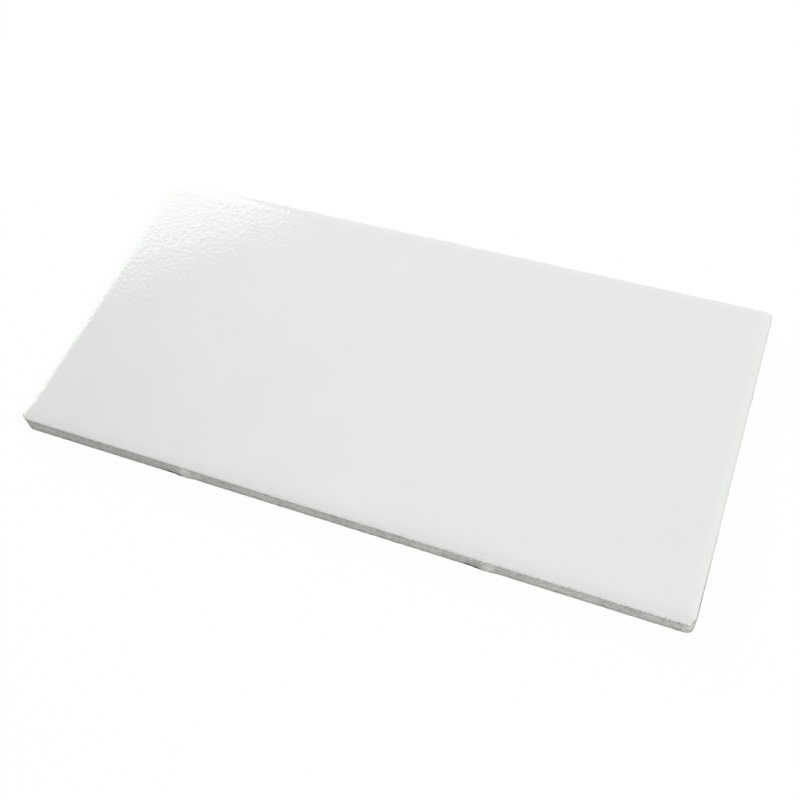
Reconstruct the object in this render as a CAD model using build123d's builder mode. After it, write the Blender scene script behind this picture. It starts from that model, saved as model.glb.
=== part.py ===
"""White glazed porcelain wall tile, dust-pressed and fired in one piece.

The tile lies on its back with the glazed face up. X runs along its length, Y along its width and Z
up through its thickness. The origin is at the middle of the back, in the plane of the back's ribs.
All sizes are in millimetres.
"""

import os

from build123d import *

# Outside of the tile
tile_length = 200.0
tile_width = 100.0
tile_thickness = 7.0  # from the ribs of the back to the flat of the glazed face
corner_radius = 2.0  # the four upright corners, in plan

# Cushion edge: the margin of the glazed face rolls down to the sides
cushion_width = 3.6  # from a side to where the face becomes flat
cushion_drop = 0.22  # how far the face has fallen where it meets a side
cushion_outlines = 5  # outlines that the cushion is lofted through
rim_radius = 0.5  # rounding between the cushion and the sides
shoulder = tile_thickness - cushion_drop  # height of the sides before that rounding
back_arris = 0.5  # chamfer between the back and the sides

# Spacer lugs: low pads on the sides that keep the joint between neighbouring tiles
lug_length = 7.0  # along the side
lug_projection = 0.25  # how far a lug stands out from its side at its foot
lug_height = 5.0  # from a lug's foot to where it has run out into its side
lug_run_out = 3.5  # height of the slope at a lug's top
lug_root = 1.0  # depth of a lug inside the body, where it merges with it
lugs_per_side = 2
long_side_lug_pitch = 91.0
short_side_lug_pitch = 45.5

# Back relief: a grid of ribs with shallow pockets between them that key into the adhesive
back_border = 6.0  # plain band around the pockets
rib_width = 2.5
rib_pitch = 18.5  # about; the pockets are spread evenly over the back
pocket_depth = 0.7
pocket_corner = 1.5
pocket_draft = 30.0  # lean of a pocket's walls from the upright, in degrees


def pocket_row(span, multiple):
    """Number of pockets along a span of the back, as such a multiple, and the size of one of them."""
    room = span - 2 * back_border + rib_width
    count = multiple * max(1, round(room / rib_pitch / multiple))
    return count, room / count - rib_width


def lug_places():
    """A place at the foot of a side for each lug, turned so that the lug's X points outwards."""
    side_pairs = (
        (0, tile_length / 2, short_side_lug_pitch),
        (90, tile_width / 2, long_side_lug_pitch),
    )
    for turn, distance, pitch in side_pairs:
        for facing in (turn, turn + 180):
            for step in range(lugs_per_side):
                along = pitch * (step - (lugs_per_side - 1) / 2)
                yield Location((0, 0, 0), (0, 0, facing)) * Location((distance, along, back_arris))


# One spacer lug, with the tile's side in the plane X = 0 and the outside along X
with BuildPart() as lug:
    # Bowed outwards in plan
    with BuildSketch(Plane.XY):
        with BuildLine():
            Polyline(
                (0, -lug_length / 2),
                (-lug_root, -lug_length / 2),
                (-lug_root, lug_length / 2),
                (0, lug_length / 2),
            )
            ThreePointArc((0, lug_length / 2), (lug_projection, 0), (0, -lug_length / 2))
        make_face()
    extrude(amount=lug_height)

    # Sloped back to the side at its top
    with BuildSketch(Plane.XZ):
        with BuildLine():
            Polyline(
                (-lug_root, 0),
                (lug_projection, 0),
                (lug_projection, lug_height - lug_run_out),
                (0, lug_height),
                (-lug_root, lug_height),
                close=True,
            )
        make_face()
    extrude(amount=lug_length / 2, both=True, mode=Mode.INTERSECT)

with BuildPart() as tile:
    # Upright body
    with BuildSketch(Plane.XY):
        RectangleRounded(tile_length, tile_width, corner_radius)
    extrude(amount=shoulder)

    # The cushion edge closes in on the flat of the face, rising less and less on the way
    for step in range(cushion_outlines):
        share = step / (cushion_outlines - 1)
        inset = cushion_width * share
        height = tile_thickness - cushion_drop * (1 - share) ** 2
        with BuildSketch(Plane.XY.offset(height)):
            RectangleRounded(tile_length - 2 * inset, tile_width - 2 * inset, corner_radius)
    loft()

    fillet(tile.edges().filter_by_position(Axis.Z, shoulder, shoulder), radius=rim_radius)
    chamfer(tile.faces().sort_by(Axis.Z)[0].edges(), length=back_arris)

    with Locations(*lug_places()):
        add(lug.part)

    # Pockets in the back, with drafted walls so that the ribs are wider at their roots. The columns
    # are even in number, so that a rib runs through the middle of the back.
    columns, pocket_length = pocket_row(tile_length, 2)
    rows, pocket_width = pocket_row(tile_width, 1)
    with BuildSketch(Plane.XY):
        with GridLocations(pocket_length + rib_width, pocket_width + rib_width, columns, rows):
            RectangleRounded(pocket_length, pocket_width, pocket_corner)
    extrude(amount=pocket_depth, taper=pocket_draft, mode=Mode.SUBTRACT)

tile.part.label = "tile"
os.makedirs("parts", exist_ok=True)
export_step(tile.part, "parts/tile.step")
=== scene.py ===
"""Looks of the white glazed porcelain tile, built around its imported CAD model.

The tile is remade as one closed mesh that follows the CAD sizes and adds what is too fine for the CAD:
the ripple of the fired glaze and the grain of the bare sides. Shapes are worked out in millimetres and
scaled to metres when the mesh is made.
"""

import math

import bpy
import numpy as np
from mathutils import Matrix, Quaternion, Vector


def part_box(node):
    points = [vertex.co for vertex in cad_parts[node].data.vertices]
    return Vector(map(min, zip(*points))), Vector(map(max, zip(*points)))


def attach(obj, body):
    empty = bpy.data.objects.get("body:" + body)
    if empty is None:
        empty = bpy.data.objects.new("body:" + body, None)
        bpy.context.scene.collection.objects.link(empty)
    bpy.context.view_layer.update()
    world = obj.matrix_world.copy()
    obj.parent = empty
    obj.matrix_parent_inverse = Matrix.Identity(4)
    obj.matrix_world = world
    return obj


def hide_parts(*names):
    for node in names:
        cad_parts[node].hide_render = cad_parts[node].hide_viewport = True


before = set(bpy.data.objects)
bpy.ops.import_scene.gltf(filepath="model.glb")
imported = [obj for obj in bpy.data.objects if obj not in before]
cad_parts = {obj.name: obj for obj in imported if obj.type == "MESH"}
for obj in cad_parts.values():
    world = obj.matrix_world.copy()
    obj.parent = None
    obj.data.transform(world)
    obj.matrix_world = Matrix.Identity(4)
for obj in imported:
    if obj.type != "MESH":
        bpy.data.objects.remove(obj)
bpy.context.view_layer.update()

MM = 0.001  # metres in a millimetre

# Sizes of the tile, in millimetres, as in its CAD source
CORNER_RADIUS = 2.0
CUSHION_WIDTH = 3.6
CUSHION_DROP = 0.22
RIM_RADIUS = 0.5
BACK_ARRIS = 0.5
LUG_LENGTH = 7.0
LUG_PROJECTION = 0.25
LUG_HEIGHT = 5.0
LUG_RUN_OUT = 3.5
LONG_SIDE_LUG_PITCH = 91.0
SHORT_SIDE_LUG_PITCH = 45.5
BACK_BORDER = 6.0
RIB_WIDTH = 2.5
POCKET_COLUMNS = 10
POCKET_ROWS = 5
POCKET_DEPTH = 0.7
POCKET_CORNER = 1.5
POCKET_DRAFT = math.radians(30)

# Fineness of the mesh
GRID_STEP = 0.56  # between the points of the glazed face
RIM_STEPS = 6  # around the rim
WALL_STEPS = 10  # down a side
POCKET_CORNER_STEPS = 5
SHARP_ANGLE = math.radians(35)  # steeper folds of the mesh stay sharp

# Relief of the fired surfaces, in millimetres
RIPPLE_HEIGHT = 0.0018
RIPPLE_WAVES = (1.8, 3.2)
SWELL_HEIGHT = 0.004
SWELL_WAVES = (14.0, 40.0)
WAVE_COUNT = 40
WAVE_TURN = 2.39996  # radians between one wave's heading and the next one's
WAVE_PHASE = 3.58041  # and between their phases
WAVE_SHARE = 0.754878  # between their shares of the range of lengths, past 1 from 0 again
GRAIN_HEIGHT = 0.02
GRAIN_WAVES = (1.2, 3.0)
GRAIN_SLANT = (7.0, 5.0)  # how far the grain moves along X and along Y for each millimetre up a side
GRAIN_TOP = 6.2  # height below which the sides are roughened
PEEL_HEIGHT = 0.025  # of the finest ripple, which is bump
PEEL_SIZE = 1.2
PIT_HEIGHT = 0.10  # of the bare body's pits, which are bump too
GLAZE_HEIGHT = 0.12  # step of the glaze over the bare body

# Glaze; its edge lies at one height on the left of the long sides and at another on their right, and
# on the short sides at one height in front and at another behind
GLAZE_ROUGHNESS = 0.103
GLAZE_COLOUR = (0.800, 0.815, 0.790, 1.0)
GLAZE_IOR = 1.5
GLAZE_SOFTNESS = 0.06  # half the width of its edge
CLOUD_SIZE = 25.0
CLOUD_TONE = 0.985  # of the glaze's faint clouds
GLAZE_LINE_LONG = (6.30, 5.75)
GLAZE_TURN_LONG = (-60.0, 0.0)  # places along a long side between which the height changes
GLAZE_LINE_SHORT = (6.74, 6.20)
GLAZE_TURN_SHORT = (-42.0, -8.0)
RAGGED_SIZE = 0.5
RAGGED_REACH = (0.1, 5.5)  # how far the edge wanders on the long sides, on the left and on the right
RAGGED_TURN = (-40.0, 70.0)
RAGGED_SHORT = 0.1  # and on the short sides
GLAZE_WHOLE = 6.75  # height from which the glaze has no gaps

# Bare body; its tone is the share of light that it returns
BARE_BLACK = (0.0, 0.0, 0.0, 1.0)
BARE_WHITE = (0.975, 1.0, 0.935, 1.0)
BARE_TONE = 0.475
BARE_ROUGHNESS = 0.85
NOISE_SPAN = (0.3, 0.7)  # between the dark and the light of a noise
GRAIN_SIZE = 0.8
GRAIN_TONE = 0.08
BLOTCH_SIZE = 6.0
BLOTCH_TONE = 0.03
PATCH_SIZE = 1.2  # of the marks' broken patches
PATCH_SPAN = (0.35, 0.6)
PATCH_LEAST = 0.3  # strength of a mark between its patches
FOOT_PAINTED_SHADE = -0.11  # painted shade along the foot of the long sides
FOOT_PAINTED_SHADE_SHORT = -0.25  # and of the short ones
FOOT_RISE = (0.7, 2.5)  # heights between which it fades out
EDGE_TONE = -0.07  # shade below the glaze's edge
EDGE_RISE = (-1.8, -0.7)  # heights above that edge between which it sets in
LUG_PAINTED_SHADE = -0.07  # painted shade around the painted shadow at a lug
LUG_SHADE_RISE = (3.0, 5.0)
LUG_PAINTED_SHADOW = -0.30  # painted shadow of the lug, in its left root
LUG_SHADOW_RISE = (1.0, 1.8)
LUG_SHADOW_OFFSET = -3.2  # from the lug's middle, along its side
LUG_SHADOW_REACH = 3.2
LUG_PAINTED_LIGHT = 0.17  # painted light on a lug's right flank
LUG_LIGHT_OFFSET = 1.2
LUG_LIGHT_REACH = 2.2
MARK_CORE = 0.4  # share of its reach at which a mark starts to fade
CORNER_PAINTED_SHADE_AND_LIGHT = (-0.10, 0.12)  # painted shade on the corners on the left, and painted light on the ones on the right
CORNER_ALONG = (3.4, 2.0)  # insets from the short sides between which they set in
CORNER_ACROSS = (1.2, 0.4)  # and from the long sides
SHORT_SIDE_INSETS = (1.4, 0.7)  # between which the long sides' finish gives way to the short ones'

# Camera, in millimetres and degrees
CAMERA_PLACE = (88.88, -159.08, 268.21)
CAMERA_AIM = (-3.85, -13.76, 7.0)
CAMERA_ROLL = math.radians(12.76)
CAMERA_LENS = 48.73
CAMERA_SENSOR = 36.0
CAMERA_SHIFT = 0.05
CAMERA_NEAR = 10.0  # what is nearer is not seen

# Lighting, in metres and degrees; azimuths run from +X towards +Y
WINDOW_FACING = math.radians(131)  # square to the window
WINDOW_DISTANCE = 2.5
WINDOW_RIGHT = (-0.47, -0.30)  # its right side at its foot and at its top, to the left of that line
WINDOW_LEFT = 2.3
WINDOW_REACH = (0.12, 2.51)  # its foot and its top
WINDOW_RADIANCE = 4.9
FILL_PLACE = (0.25, -0.35, 0.02)
FILL_SIZE = (0.12, 0.03)
FILL_RADIANCE = 22.0
FLAG_ENDS = ((-0.25, -0.06), (-0.13, -0.22))
FLAG_HEIGHT = 0.16
FLAG_COLOUR = (0.02, 0.02, 0.02, 1.0)
TENT_LEVEL = 0.685
TENT_FRONT = 0.09  # how much brighter the tent is in front of the tile than above it
TENT_RIGHT = 0.22  # how much brighter it is on the right than above
CEILING_HEIGHT = 3.0
CEILING_FRONT = 0.45  # where it ends in front
CEILING_END = 8.0  # how far it reaches behind and to both sides
CEILING_BACK = (0.78, 1.28)  # from its dim front to its lit back; the front edge mirrors this border
CEILING_DIM = 0.45  # how bright its front is beside its back
CEILING_LEFT = (-1.8, -0.2)  # from its dark left to its lit middle, along Y = 0
CEILING_SKEW = 0.45  # how far that border runs to the left on its way to the back
CEILING_LEFT_RADIANCE = 0.25
CEILING_RADIANCE = 1.55
CEILING_RIGHT = (0.1, 0.8)  # from its middle to its right, which the right edge mirrors
CEILING_RIGHT_RADIANCE = 1.4

FLOOR_SIZE = 6.0
FLOOR_LAP = 1.0  # how far the floor reaches under the tile, in millimetres
FLOOR_WHITE = (0.90, 0.90, 0.90, 1.0)
FLOOR_GLOW = 0.98  # share of the floor that reads as plain white


def face_sizes():
    """Half length, half width and thickness of the tile without its lugs, in millimetres."""
    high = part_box("tile")[1]
    half_length = high[0] / MM - LUG_PROJECTION
    half_width = high[1] / MM - LUG_PROJECTION
    return half_length, half_width, high[2] / MM


HALF_LENGTH, HALF_WIDTH, THICKNESS = face_sizes()


def waves(x, y, lengths, height):
    """Smooth uneven relief: waves of many directions and lengths, spread evenly by irrational steps."""
    relief = np.zeros_like(x)
    for index in range(WAVE_COUNT):
        heading = index * WAVE_TURN
        phase = index * WAVE_PHASE
        length = lengths[0] + (lengths[1] - lengths[0]) * (index * WAVE_SHARE % 1)
        along = x * math.cos(heading) + y * math.sin(heading)
        relief += np.sin(2 * math.pi * along / length + phase)
    return relief * height * math.sqrt(2 / WAVE_COUNT)


def round_corners(x, y, half_length, half_width, radius):
    """Bends a rectangle's grid so that its corners are round, with the grid's edge on the outline."""
    across = np.abs(x) - (half_length - radius)
    up = np.abs(y) - (half_width - radius)
    corner = (across > 0) & (up > 0)
    far = np.maximum(across, up)
    near = np.minimum(across, up)
    angle = np.where(corner, near / np.where(far > 0, far, 1) * math.pi / 4, 0)
    long_leg = far * np.cos(angle)
    short_leg = far * np.sin(angle)
    bent_across = np.where(across >= up, long_leg, short_leg)
    bent_up = np.where(across >= up, short_leg, long_leg)
    bent_x = np.where(corner, np.sign(x) * (half_length - radius + bent_across), x)
    bent_y = np.where(corner, np.sign(y) * (half_width - radius + bent_up), y)
    return bent_x, bent_y


def inset_at(x, y):
    """Distance from the sides, measured along outlines whose corners keep their radius."""
    from_end = HALF_LENGTH - np.abs(x)
    from_side = HALF_WIDTH - np.abs(y)
    gap = from_end - from_side
    in_corner = np.abs(gap) < CORNER_RADIUS
    arc = np.sqrt(np.maximum(2 * CORNER_RADIUS**2 - gap**2, 0))
    round_inset = (from_end + from_side + arc) / 2 - CORNER_RADIUS
    return np.where(in_corner, round_inset, np.minimum(from_end, from_side))


def cushion_height(inset):
    """Height of the glazed face at a distance from the sides."""
    share = np.clip(inset / CUSHION_WIDTH, 0, 1)
    return THICKNESS - CUSHION_DROP * (1 - share) ** 2


def lug_bulge(along, pitch, height):
    """How far a side stands out at its lugs."""
    from_middle = (np.abs(along) - pitch / 2) / (LUG_LENGTH / 2)
    bow = LUG_PROJECTION * (1 - from_middle**2)
    slope = LUG_PROJECTION * (BACK_ARRIS + LUG_HEIGHT - height) / LUG_RUN_OUT
    return np.maximum(np.minimum(bow, slope), 0)


class Skin:
    """Points and faces of the tile's mesh, gathered piece by piece."""

    def __init__(self):
        self.points = []
        self.faces = []
        self.count = 0

    def add_points(self, x, y, z):
        first = self.count
        self.points.append(np.column_stack([x, y, np.broadcast_to(z, x.shape)]))
        self.count += len(x)
        return np.arange(first, self.count)

    def add_band(self, upper, lower):
        """Joins two rings of points, the upper one inside or above the lower one."""
        next_upper = np.roll(upper, -1)
        next_lower = np.roll(lower, -1)
        self.faces.extend(np.column_stack([upper, lower, next_lower, next_upper]).tolist())


def add_face_grid(skin, half_length, half_width):
    """The glazed face as a grid with round corners; returns its outer ring and the ring's shares."""
    columns = round(2 * half_length / GRID_STEP) + 1
    rows = round(2 * half_width / GRID_STEP) + 1
    u, v = np.meshgrid(np.linspace(-1, 1, columns), np.linspace(-1, 1, rows))
    x, y = round_corners(u * half_length, v * half_width, half_length, half_width, CORNER_RADIUS)
    inset = inset_at(x, y)
    ripple = waves(x, y, RIPPLE_WAVES, RIPPLE_HEIGHT) + waves(x, y, SWELL_WAVES, SWELL_HEIGHT)
    z = cushion_height(inset) + ripple
    index = skin.add_points(x.ravel(), y.ravel(), z.ravel()).reshape(rows, columns)
    quads = np.stack([index[:-1, :-1], index[:-1, 1:], index[1:, 1:], index[1:, :-1]], axis=-1)
    skin.faces.extend(quads.reshape(-1, 4).tolist())

    def around(values):
        return np.concatenate(
            [values[0, :-1], values[:-1, -1], values[-1, :0:-1], values[:0:-1, 0]]
        )

    return around(index), around(u), around(v)


def side_ring(skin, u, v, inset, height, radius):
    """One ring of points around the sides, stood out at the lugs and roughened by the body's grain."""
    half_length = HALF_LENGTH - inset
    half_width = HALF_WIDTH - inset
    x, y = round_corners(u * half_length, v * half_width, half_length, half_width, radius)
    bare = np.clip(GRAIN_TOP - height, 0, 1)
    slant_x, slant_y = GRAIN_SLANT
    grain = bare * waves(x + slant_x * height, y + slant_y * height, GRAIN_WAVES, GRAIN_HEIGHT)
    on_end = np.abs(u) == 1
    on_side = np.abs(v) == 1
    above_foot = height >= BACK_ARRIS
    end_bulge = above_foot * lug_bulge(y, SHORT_SIDE_LUG_PITCH, height) + grain
    side_bulge = above_foot * lug_bulge(x, LONG_SIDE_LUG_PITCH, height) + grain
    x = x + np.where(on_end & ~on_side, np.sign(u) * end_bulge, 0)
    y = y + np.where(on_side & ~on_end, np.sign(v) * side_bulge, 0)
    return skin.add_points(x, y, height)


def build_tile_mesh():
    """The tile's closed skin, without the pockets of its back."""
    skin = Skin()
    lean = math.atan(2 * CUSHION_DROP / CUSHION_WIDTH * (1 - RIM_RADIUS / CUSHION_WIDTH))
    rim_inset = RIM_RADIUS * (1 - math.sin(lean))
    rim_centre = float(cushion_height(np.array(rim_inset))) - RIM_RADIUS * math.cos(lean)
    ring, u, v = add_face_grid(skin, HALF_LENGTH - rim_inset, HALF_WIDTH - rim_inset)
    for turn in np.linspace(math.pi / 2 - lean, 0, RIM_STEPS + 1)[1:]:
        inset = RIM_RADIUS * (1 - math.cos(turn))
        height = rim_centre + RIM_RADIUS * math.sin(turn)
        below = side_ring(skin, u, v, inset, height, CORNER_RADIUS)
        skin.add_band(ring, below)
        ring = below
    for height in np.linspace(rim_centre, BACK_ARRIS, WALL_STEPS + 1)[1:]:
        below = side_ring(skin, u, v, 0, height, CORNER_RADIUS)
        skin.add_band(ring, below)
        ring = below
    below = side_ring(skin, u, v, BACK_ARRIS, 0, CORNER_RADIUS - BACK_ARRIS)
    skin.add_band(ring, below)
    skin.faces.append(below[::-1].tolist())
    mesh = bpy.data.meshes.new("glazed_tile")
    mesh.from_pydata((np.concatenate(skin.points) * MM).tolist(), [], skin.faces)
    return mesh


def pocket_outline(length, width, radius):
    """Points of a rectangle with round corners, anticlockwise."""
    points = []
    for quarter, (side_x, side_y) in enumerate(((1, 1), (-1, 1), (-1, -1), (1, -1))):
        for step in range(POCKET_CORNER_STEPS + 1):
            angle = (quarter + step / POCKET_CORNER_STEPS) * math.pi / 2
            x = side_x * (length / 2 - radius) + radius * math.cos(angle)
            y = side_y * (width / 2 - radius) + radius * math.sin(angle)
            points.append((x, y))
    return points


def build_pocket_cutter():
    """All pockets of the back as one mesh of drafted blocks that reach a little below the back."""
    pitch_x = (2 * HALF_LENGTH - 2 * BACK_BORDER + RIB_WIDTH) / POCKET_COLUMNS
    pitch_y = (2 * HALF_WIDTH - 2 * BACK_BORDER + RIB_WIDTH) / POCKET_ROWS
    points = []
    faces = []
    for column in range(POCKET_COLUMNS):
        for row in range(POCKET_ROWS):
            centre_x = (column - (POCKET_COLUMNS - 1) / 2) * pitch_x
            centre_y = (row - (POCKET_ROWS - 1) / 2) * pitch_y
            rings = []
            for height in (-POCKET_DEPTH, POCKET_DEPTH):
                narrowing = height * math.tan(POCKET_DRAFT)
                outline = pocket_outline(
                    pitch_x - RIB_WIDTH - 2 * narrowing,
                    pitch_y - RIB_WIDTH - 2 * narrowing,
                    POCKET_CORNER - narrowing,
                )
                rings.append(list(range(len(points), len(points) + len(outline))))
                points.extend(((centre_x + x) * MM, (centre_y + y) * MM, height * MM) for x, y in outline)
            lower, upper = rings
            faces.append(lower[::-1])
            faces.append(upper)
            for here in range(len(lower)):
                there = (here + 1) % len(lower)
                faces.append((lower[here], lower[there], upper[there], upper[here]))
    mesh = bpy.data.meshes.new("pockets")
    mesh.from_pydata(points, [], faces)
    return mesh


def add_object(name, mesh):
    piece = bpy.data.objects.new(name, mesh)
    bpy.context.scene.collection.objects.link(piece)
    return piece


def build_tile():
    """The dressed tile: its skin with the pockets cut out of the back."""
    tile = add_object("glazed_tile", build_tile_mesh())
    cutter = add_object("pockets", build_pocket_cutter())
    cut = tile.modifiers.new("pockets", "BOOLEAN")
    cut.operation = "DIFFERENCE"
    cut.solver = "EXACT"
    cut.object = cutter
    graph = bpy.context.evaluated_depsgraph_get()
    mesh = bpy.data.meshes.new_from_object(tile.evaluated_get(graph))
    tile.modifiers.remove(cut)
    tile.data = mesh
    bpy.data.objects.remove(cutter)
    mesh.shade_smooth()
    mesh.set_sharp_from_angle(angle=SHARP_ANGLE)
    return tile


def add_node(tree, kind, inputs=None, **settings):
    """A shader node with its settings made and its inputs filled or linked."""
    node = tree.nodes.new(kind)
    for name, value in settings.items():
        setattr(node, name, value)
    for name, value in (inputs or {}).items():
        if isinstance(value, bpy.types.NodeSocket):
            tree.links.new(value, node.inputs[name])
        else:
            node.inputs[name].default_value = value
    return node


def mix_colours(tree, factor, first, second):
    node = add_node(tree, "ShaderNodeMix", {0: factor, 6: first, 7: second}, data_type="RGBA")
    return node.outputs[2]


def noise(tree, place, size, detail=2.0):
    """Noise whose blotches are about a size across, in millimetres."""
    node = add_node(tree, "ShaderNodeTexNoise", {"Vector": place, "Scale": 1 / (size * MM), "Detail": detail})
    return node.outputs["Fac"]


def ramp(tree, value, low, high, new_low=0.0, new_high=1.0):
    node = add_node(
        tree,
        "ShaderNodeMapRange",
        {"Value": value, 1: low, 2: high, 3: new_low, 4: new_high},
        interpolation_type="SMOOTHSTEP",
    )
    return node.outputs[0]


def math_node(tree, operation, first, second=0.0):
    return add_node(tree, "ShaderNodeMath", {0: first, 1: second}, operation=operation).outputs[0]


def total(tree, first, *others):
    for other in others:
        first = math_node(tree, "ADD", first, other)
    return first


def product(tree, first, *others):
    for other in others:
        first = math_node(tree, "MULTIPLY", first, other)
    return first


def mix_numbers(tree, factor, first, second):
    node = add_node(tree, "ShaderNodeMix", {0: factor, 2: first, 3: second}, data_type="FLOAT")
    return node.outputs[0]


def new_material(name):
    material = bpy.data.materials.new(name)
    material.use_nodes = True
    material.node_tree.nodes.clear()
    return material, material.node_tree


def in_metres(span):
    return span[0] * MM, span[1] * MM


def near_edge(tree, axis, half, insets):
    """1 at the outer one of two insets from the sides that an axis points at, and 0 at the inner one."""
    outwards = math_node(tree, "ABSOLUTE", axis)
    return ramp(tree, outwards, (half - insets[0]) * MM, (half - insets[1]) * MM)


def on_short_side(tree, axes):
    """1 on the tile's short sides and 0 on its long ones."""
    return near_edge(tree, axes["X"], HALF_LENGTH, SHORT_SIDE_INSETS)


def above_glaze_edge(tree, place, axes):
    """Height above the glaze's edge, which is crisp on the tile's left and ragged on its right."""

    def change(axis, places, values):
        return ramp(tree, axis, *in_metres(places), *in_metres(values))

    long_line = change(axes["X"], GLAZE_TURN_LONG, GLAZE_LINE_LONG)
    short_line = change(axes["Y"], GLAZE_TURN_SHORT, GLAZE_LINE_SHORT)
    long_reach = change(axes["X"], RAGGED_TURN, RAGGED_REACH)
    on_short = on_short_side(tree, axes)
    line = mix_numbers(tree, on_short, long_line, short_line)
    reach = mix_numbers(tree, on_short, long_reach, RAGGED_SHORT * MM)
    ragged = math_node(tree, "SUBTRACT", noise(tree, place, RAGGED_SIZE), 0.5)
    height = total(tree, axes["Z"], product(tree, ragged, reach))
    above_edge = math_node(tree, "SUBTRACT", height, line)
    above_gaps = math_node(tree, "SUBTRACT", axes["Z"], GLAZE_WHOLE * MM)
    return math_node(tree, "MAXIMUM", above_edge, above_gaps)


def at_sides(tree, axes):
    """1 on the tile's sides, and 0 on its face and its back."""
    along = math_node(tree, "ABSOLUTE", axes["X"])
    across = math_node(tree, "ABSOLUTE", axes["Y"])
    from_end = math_node(tree, "SUBTRACT", HALF_LENGTH * MM, along)
    from_side = math_node(tree, "SUBTRACT", HALF_WIDTH * MM, across)
    inset = math_node(tree, "MINIMUM", from_end, from_side)
    return ramp(tree, inset, BACK_ARRIS * MM, 2 * BACK_ARRIS * MM, 1.0, 0.0)


def at_corners(tree, axes):
    """1 on the parts of the long sides that turn into the tile's upright corners."""
    at_end = near_edge(tree, axes["X"], HALF_LENGTH, CORNER_ALONG)
    at_side = near_edge(tree, axes["Y"], HALF_WIDTH, CORNER_ACROSS)
    return product(tree, at_end, at_side)


def near_lugs(tree, axes, offset, reach):
    """1 at an offset along the sides from each lug's middle, and 0 from a reach away from there."""

    def distance(along, pitch):
        shifted = math_node(tree, "SUBTRACT", along, offset * MM)
        cycle = math_node(tree, "FLOORED_MODULO", shifted, pitch * MM)
        return math_node(tree, "ABSOLUTE", math_node(tree, "SUBTRACT", cycle, pitch * MM / 2))

    on_long = distance(axes["X"], LONG_SIDE_LUG_PITCH)
    on_short = distance(axes["Y"], SHORT_SIDE_LUG_PITCH)
    nearest = mix_numbers(tree, on_short_side(tree, axes), on_long, on_short)
    return ramp(tree, nearest, MARK_CORE * reach * MM, reach * MM, 1.0, 0.0)


def bare_body(tree, place, axes, above, grain):
    """Colour of the bare body: grainy, with painted shade at its foot, painted shadow and light at its lugs,
    and painted shade and light at its corners.
    """
    height = axes["Z"]
    sides = at_sides(tree, axes)
    blotch = noise(tree, place, BLOTCH_SIZE)
    patchy = ramp(tree, noise(tree, place, PATCH_SIZE), *PATCH_SPAN, PATCH_LEAST, 1.0)
    # Painted shade along the foot of the sides, deeper on the short sides
    foot = ramp(tree, height, *in_metres(FOOT_RISE), 1.0, 0.0)
    foot_shade = mix_numbers(tree, on_short_side(tree, axes), FOOT_PAINTED_SHADE, FOOT_PAINTED_SHADE_SHORT)
    # Painted shadow beside the left root of each lug, inside a wider painted shade
    lug_shade = ramp(tree, height, *in_metres(LUG_SHADE_RISE), LUG_PAINTED_SHADE, 0.0)
    lug_shadow = ramp(tree, height, *in_metres(LUG_SHADOW_RISE), LUG_PAINTED_SHADOW, 0.0)
    # Painted shade on the left upright corners and painted light on the right ones
    corner = ramp(tree, axes["X"], -MM, MM, *CORNER_PAINTED_SHADE_AND_LIGHT)
    lug_shadow_place = near_lugs(tree, axes, LUG_SHADOW_OFFSET, LUG_SHADOW_REACH)
    # Painted light on the right flank of each lug
    lug_light = near_lugs(tree, axes, LUG_LIGHT_OFFSET, LUG_LIGHT_REACH)
    tone = total(
        tree,
        BARE_TONE,
        ramp(tree, grain, *NOISE_SPAN, -GRAIN_TONE, GRAIN_TONE),
        ramp(tree, blotch, *NOISE_SPAN, -BLOTCH_TONE, BLOTCH_TONE),
        product(tree, sides, foot, foot_shade),
        ramp(tree, above, *in_metres(EDGE_RISE), 0.0, EDGE_TONE),
        product(tree, sides, lug_shadow_place, total(tree, lug_shade, lug_shadow)),
        product(tree, sides, lug_light, patchy, LUG_PAINTED_LIGHT),
        product(tree, at_corners(tree, axes), patchy, corner),
    )
    return mix_colours(tree, tone, BARE_BLACK, BARE_WHITE)


def porcelain():
    """White glaze on the face and the rim, and bare grainy body below the glaze's edge."""
    material, tree = new_material("glazed_porcelain")
    place = add_node(tree, "ShaderNodeTexCoord").outputs["Object"]
    axes = add_node(tree, "ShaderNodeSeparateXYZ", {0: place}).outputs
    above = above_glaze_edge(tree, place, axes)
    glazed = ramp(tree, above, -GLAZE_SOFTNESS * MM, GLAZE_SOFTNESS * MM)
    grain = noise(tree, place, GRAIN_SIZE, 3.0)

    cloud = ramp(tree, noise(tree, place, CLOUD_SIZE), *NOISE_SPAN, CLOUD_TONE, 1.0)
    tint = add_node(tree, "ShaderNodeCombineColor", {0: cloud, 1: cloud, 2: cloud}).outputs[0]
    white = add_node(
        tree, "ShaderNodeMix", {0: 1.0, 6: GLAZE_COLOUR, 7: tint}, data_type="RGBA", blend_type="MULTIPLY"
    ).outputs[2]
    colour = mix_colours(tree, glazed, bare_body(tree, place, axes, above, grain), white)

    roughness = ramp(tree, glazed, 0.0, 1.0, BARE_ROUGHNESS, GLAZE_ROUGHNESS)
    pits = product(tree, grain, PIT_HEIGHT)
    peel = product(tree, noise(tree, place, PEEL_SIZE, 0.0), PEEL_HEIGHT)
    relief = mix_numbers(tree, glazed, pits, total(tree, GLAZE_HEIGHT, peel))
    bump = add_node(tree, "ShaderNodeBump", {"Strength": 1.0, "Distance": MM, "Height": relief})
    shader = add_node(
        tree,
        "ShaderNodeBsdfPrincipled",
        {"Base Color": colour, "Roughness": roughness, "Normal": bump.outputs[0], "IOR": GLAZE_IOR},
    )
    add_node(tree, "ShaderNodeOutputMaterial", {"Surface": shader.outputs[0]})
    return material


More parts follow.
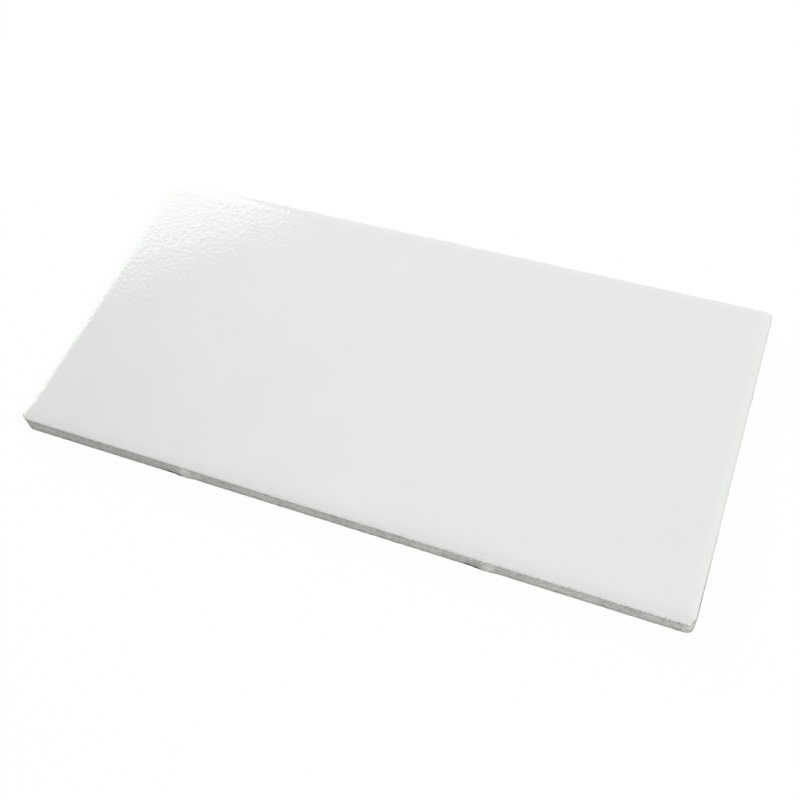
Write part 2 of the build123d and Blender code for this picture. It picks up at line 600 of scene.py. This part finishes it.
def seen_directly(tree):
    """1 for rays from the camera, or by way of a reflection or a clear body, and 0 for the light's rays."""
    rays = add_node(tree, "ShaderNodeLightPath").outputs
    seen = math_node(tree, "MAXIMUM", rays["Is Camera Ray"], rays["Is Glossy Ray"])
    return math_node(tree, "MAXIMUM", seen, rays["Is Transmission Ray"])


def add_card(name, corners, material, hidden_from=(), faces=None):
    """A flat piece of the studio, and what it is hidden from."""
    mesh = bpy.data.meshes.new(name)
    mesh.from_pydata(corners, [], faces or [range(len(corners))])
    mesh.materials.append(material)
    card = add_object(name, mesh)
    for setting in hidden_from:
        setattr(card, setting, False)


def add_floor():
    """Plain white floor that keeps a faint shadow, open under the tile so that its back can be seen."""
    material, tree = new_material("white_floor")
    paper = add_node(tree, "ShaderNodeBsdfDiffuse", {"Color": FLOOR_WHITE})
    glow = add_node(tree, "ShaderNodeEmission", {"Strength": 1.0})
    share = product(tree, seen_directly(tree), FLOOR_GLOW)
    mixed = add_node(tree, "ShaderNodeMixShader", {0: share, 1: paper.outputs[0], 2: glow.outputs[0]})
    add_node(tree, "ShaderNodeOutputMaterial", {"Surface": mixed.outputs[0]})

    def rectangle(half_length, half_width):
        signs = ((-1, -1), (1, -1), (1, 1), (-1, 1))
        return [(x * half_length, y * half_width, 0) for x, y in signs]

    outside = rectangle(FLOOR_SIZE / 2, FLOOR_SIZE / 2)
    opening = rectangle((HALF_LENGTH - FLOOR_LAP) * MM, (HALF_WIDTH - FLOOR_LAP) * MM)
    strips = [(side, (side + 1) % 4, 4 + (side + 1) % 4, 4 + side) for side in range(4)]
    add_card("floor", outside + opening, material, faces=strips)


def set_world():
    """A white tent around the tile, brighter in front of it and on its right."""
    world = bpy.data.worlds.new("tent")
    world.use_nodes = True
    tree = world.node_tree
    tree.nodes.clear()
    heading = add_node(tree, "ShaderNodeTexCoord").outputs["Generated"]
    axes = add_node(tree, "ShaderNodeSeparateXYZ", {0: heading}).outputs
    front = product(tree, axes["Y"], -TENT_FRONT)
    right = product(tree, axes["X"], TENT_RIGHT)
    level = total(tree, TENT_LEVEL, front, right)
    strength = mix_numbers(tree, seen_directly(tree), level, 1.0)
    tent = add_node(tree, "ShaderNodeBackground", {"Color": (1, 1, 1, 1), "Strength": strength})
    add_node(tree, "ShaderNodeOutputWorld", {"Surface": tent.outputs[0]})
    bpy.context.scene.world = world


def add_window():
    """A tall bright window behind and to the left, whose right side leans."""
    material, tree = new_material("window")
    light = add_node(tree, "ShaderNodeEmission", {"Strength": WINDOW_RADIANCE})
    add_node(tree, "ShaderNodeOutputMaterial", {"Surface": light.outputs[0]})
    out = Vector((math.cos(WINDOW_FACING), math.sin(WINDOW_FACING), 0))
    left = Vector((0, 0, 1)).cross(out)
    foot, top = WINDOW_REACH
    outline = ((WINDOW_RIGHT[0], foot), (WINDOW_LEFT, foot), (WINDOW_LEFT, top), (WINDOW_RIGHT[1], top))
    corners = [out * WINDOW_DISTANCE + left * along + Vector((0, 0, height)) for along, height in outline]
    add_card("window", corners, material, ["visible_camera"])


def add_fill():
    """A small low lamp in front on the right."""
    light = bpy.data.lights.new("fill", "AREA")
    light.shape = "RECTANGLE"
    light.size, light.size_y = FILL_SIZE
    light.energy = FILL_RADIANCE * math.pi * light.size * light.size_y
    lamp = bpy.data.objects.new("fill", light)
    lamp.location = FILL_PLACE
    lamp.rotation_euler = Vector(FILL_PLACE).to_track_quat("Z", "Y").to_euler()
    bpy.context.scene.collection.objects.link(lamp)


def add_ceiling():
    """The ceiling as the glaze mirrors it: dark on the left, dim in front, lit behind and on the right."""
    material, tree = new_material("ceiling")
    place = add_node(tree, "ShaderNodeTexCoord").outputs["Object"]
    axes = add_node(tree, "ShaderNodeSeparateXYZ", {0: place}).outputs
    slanted = total(tree, axes["X"], product(tree, axes["Y"], CEILING_SKEW))
    middle = ramp(tree, slanted, *CEILING_LEFT, CEILING_LEFT_RADIANCE, CEILING_RADIANCE)
    right = ramp(tree, axes["X"], *CEILING_RIGHT, 0.0, CEILING_RIGHT_RADIANCE)
    behind = ramp(tree, axes["Y"], *CEILING_BACK, CEILING_DIM, 1.0)
    strength = product(tree, total(tree, middle, right), behind)
    light = add_node(tree, "ShaderNodeEmission", {"Strength": strength})
    add_node(tree, "ShaderNodeOutputMaterial", {"Surface": light.outputs[0]})
    end = CEILING_END
    outline = ((-end, CEILING_FRONT), (end, CEILING_FRONT), (end, end), (-end, end))
    corners = [(x, y, CEILING_HEIGHT) for x, y in outline]
    add_card("ceiling", corners, material, ["visible_camera", "visible_diffuse", "visible_shadow"])


def add_flag():
    """A low black card in front on the left, which keeps light off that end and is not seen itself."""
    material, tree = new_material("black_card")
    black = add_node(tree, "ShaderNodeBsdfDiffuse", {"Color": FLAG_COLOUR})
    add_node(tree, "ShaderNodeOutputMaterial", {"Surface": black.outputs[0]})
    (x0, y0), (x1, y1) = FLAG_ENDS
    corners = [(x0, y0, 0), (x1, y1, 0), (x1, y1, FLAG_HEIGHT), (x0, y0, FLAG_HEIGHT)]
    add_card("flag", corners, material, ["visible_camera", "visible_glossy"])


def add_camera():
    camera = bpy.data.cameras.new("camera")
    camera.lens = CAMERA_LENS
    camera.sensor_width = CAMERA_SENSOR
    camera.shift_x = CAMERA_SHIFT
    camera.clip_start = CAMERA_NEAR * MM
    holder = bpy.data.objects.new("camera", camera)
    place = Vector(CAMERA_PLACE) * MM
    aim = Vector(CAMERA_AIM) * MM
    level = (aim - place).to_track_quat("-Z", "Y")
    holder.location = place
    holder.rotation_euler = (level @ Quaternion((0, 0, 1), -CAMERA_ROLL)).to_euler()
    bpy.context.scene.collection.objects.link(holder)
    bpy.context.scene.camera = holder


def main():
    bpy.context.scene.view_settings.view_transform = "Standard"
    tile = build_tile()
    tile.data.materials.clear()
    tile.data.materials.append(porcelain())
    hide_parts("tile")
    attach(tile, "root")
    add_floor()
    set_world()
    add_ceiling()
    add_window()
    add_fill()
    add_flag()
    add_camera()


main()
